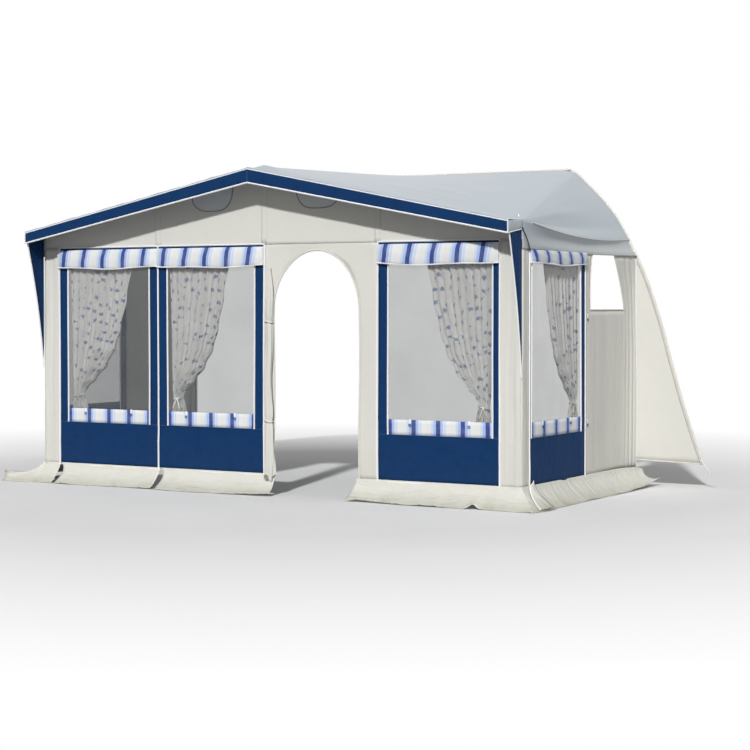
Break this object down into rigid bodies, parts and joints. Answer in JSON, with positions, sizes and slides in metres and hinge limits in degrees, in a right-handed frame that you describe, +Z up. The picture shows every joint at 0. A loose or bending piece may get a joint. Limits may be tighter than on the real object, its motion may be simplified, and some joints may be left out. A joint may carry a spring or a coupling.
{
  "type": "caravan awning",
  "caption": "Gabled frame awning for a caravan's side: canopy front, window bays with curtains and rolled blinds, arched doorway, half-open side door, flaps and mud skirts.",
  "frame": {"origin": "centre of the awning's box on the ground", "axes": "+Z up, the front wall faces -Y, the open rear faces the caravan along +Y, +X along the front wall"},
  "size_m": [5.38, 2.2848, 2.5],
  "materials": {
    "canvas": "coated woven canvas, warm beige, matt",
    "roof_cloth": "coated roof cloth, light grey, soft sheen",
    "navy_canvas": "coated woven canvas, navy blue",
    "clear_film": "clear window film, slightly grey",
    "striped_cloth": "woven stripes of white, light blue and navy",
    "curtain_cloth": "thin off-white cotton with small blue sprigs",
    "skirt_cloth": "smooth coated sheet, beige, wipeable",
    "white_piping": "white coated cord and piping",
    "steel": "galvanised steel tube",
    "black_plastic": "moulded black plastic"
  },
  "bodies": {
    "awning": {"apex_bracket": "black_plastic", "blind_1": "striped_cloth", "blind_2": "striped_cloth", "blind_3": "striped_cloth", "canopy_fascia": "navy_canvas", "canopy_hoop": "steel", "curtain_1": "curtain_cloth", "curtain_2": "curtain_cloth", "curtain_3": "curtain_cloth", "curtain_side": "curtain_cloth", "door_panel": "canvas", "door_roll": "canvas", "gable_panel": "canvas", "leg_tube_centre": "steel", "leg_tube_left": "steel", "leg_tube_right": "steel", "rafter_left": "steel", "rafter_right": "steel", "rail_bead": "white_piping", "rear_flap_left": "canvas", "rear_flap_right": "canvas", "rear_upright_left": "steel", "rear_upright_right": "steel", "ridge_pole_outer": "steel", "roof_corner_left": "roof_cloth", "roof_corner_right": "roof_cloth", "roof_left": "roof_cloth", "roof_pole_left": "steel", "roof_pole_right": "steel", "roof_right": "roof_cloth", "side_blind_left": "striped_cloth", "side_blind_right": "striped_cloth", "side_rear_panel_left": "canvas", "side_rear_panel_right": "canvas", "side_window_film_left": "clear_film", "side_window_film_right": "clear_film", "side_window_panel_left": "navy_canvas", "side_window_panel_right": "navy_canvas", "skirt_front_left": "skirt_cloth", "skirt_front_right": "skirt_cloth", "skirt_side_left": "skirt_cloth", "skirt_side_right": "skirt_cloth", "wall_corner_left": "canvas", "wall_corner_right": "canvas", "window_film_1": "clear_film", "window_film_2": "clear_film", "window_film_3": "clear_film", "window_panel_1": "navy_canvas", "window_panel_2": "navy_canvas", "window_panel_3": "navy_canvas", "wing_left": "navy_canvas", "wing_right": "navy_canvas"},
    "left_foot": {"leg_extension_left": "steel"},
    "centre_foot": {"leg_extension_centre": "steel"},
    "right_foot": {"leg_extension_right": "steel"},
    "left_knob": {"clamp_knob_left": "black_plastic"},
    "centre_knob": {"clamp_knob_centre": "black_plastic"},
    "right_knob": {"clamp_knob_right": "black_plastic"},
    "ridge_slider": {"ridge_pole_inner": "steel"},
    "zip": {"zip_slider": "black_plastic"}
  },
  "joints": [
    {"name": "left_leg_height", "type": "slide", "parent": "awning", "child": "left_foot", "axis": [0, 0, 1], "range_m": [-0.12, 0.25]},
    {"name": "left_clamp_screw", "type": "hinge", "parent": "awning", "child": "left_knob", "pos_m": [-2.0794, -0.85025, 0.83], "axis": [0, 1, 0], "range_deg": [0, 360]},
    {"name": "centre_leg_height", "type": "slide", "parent": "awning", "child": "centre_foot", "axis": [0, 0, 1], "range_m": [-0.12, 0.25]},
    {"name": "centre_clamp_screw", "type": "hinge", "parent": "awning", "child": "centre_knob", "pos_m": [0, -0.85025, 0.83], "axis": [0, 1, 0], "range_deg": [0, 360]},
    {"name": "right_leg_height", "type": "slide", "parent": "awning", "child": "right_foot", "axis": [0, 0, 1], "range_m": [-0.12, 0.25]},
    {"name": "right_clamp_screw", "type": "hinge", "parent": "awning", "child": "right_knob", "pos_m": [2.0794, -0.85025, 0.83], "axis": [0, 1, 0], "range_deg": [0, 360]},
    {"name": "ridge_pole_length", "type": "slide", "parent": "awning", "child": "ridge_slider", "axis": [0, 0.9996, 0.0273], "range_m": [-0.3, 0]},
    {"name": "side_zip_travel", "type": "slide", "parent": "awning", "child": "zip", "axis": [0, 0, 1], "range_m": [-1.05, 0.5]}
  ]
}
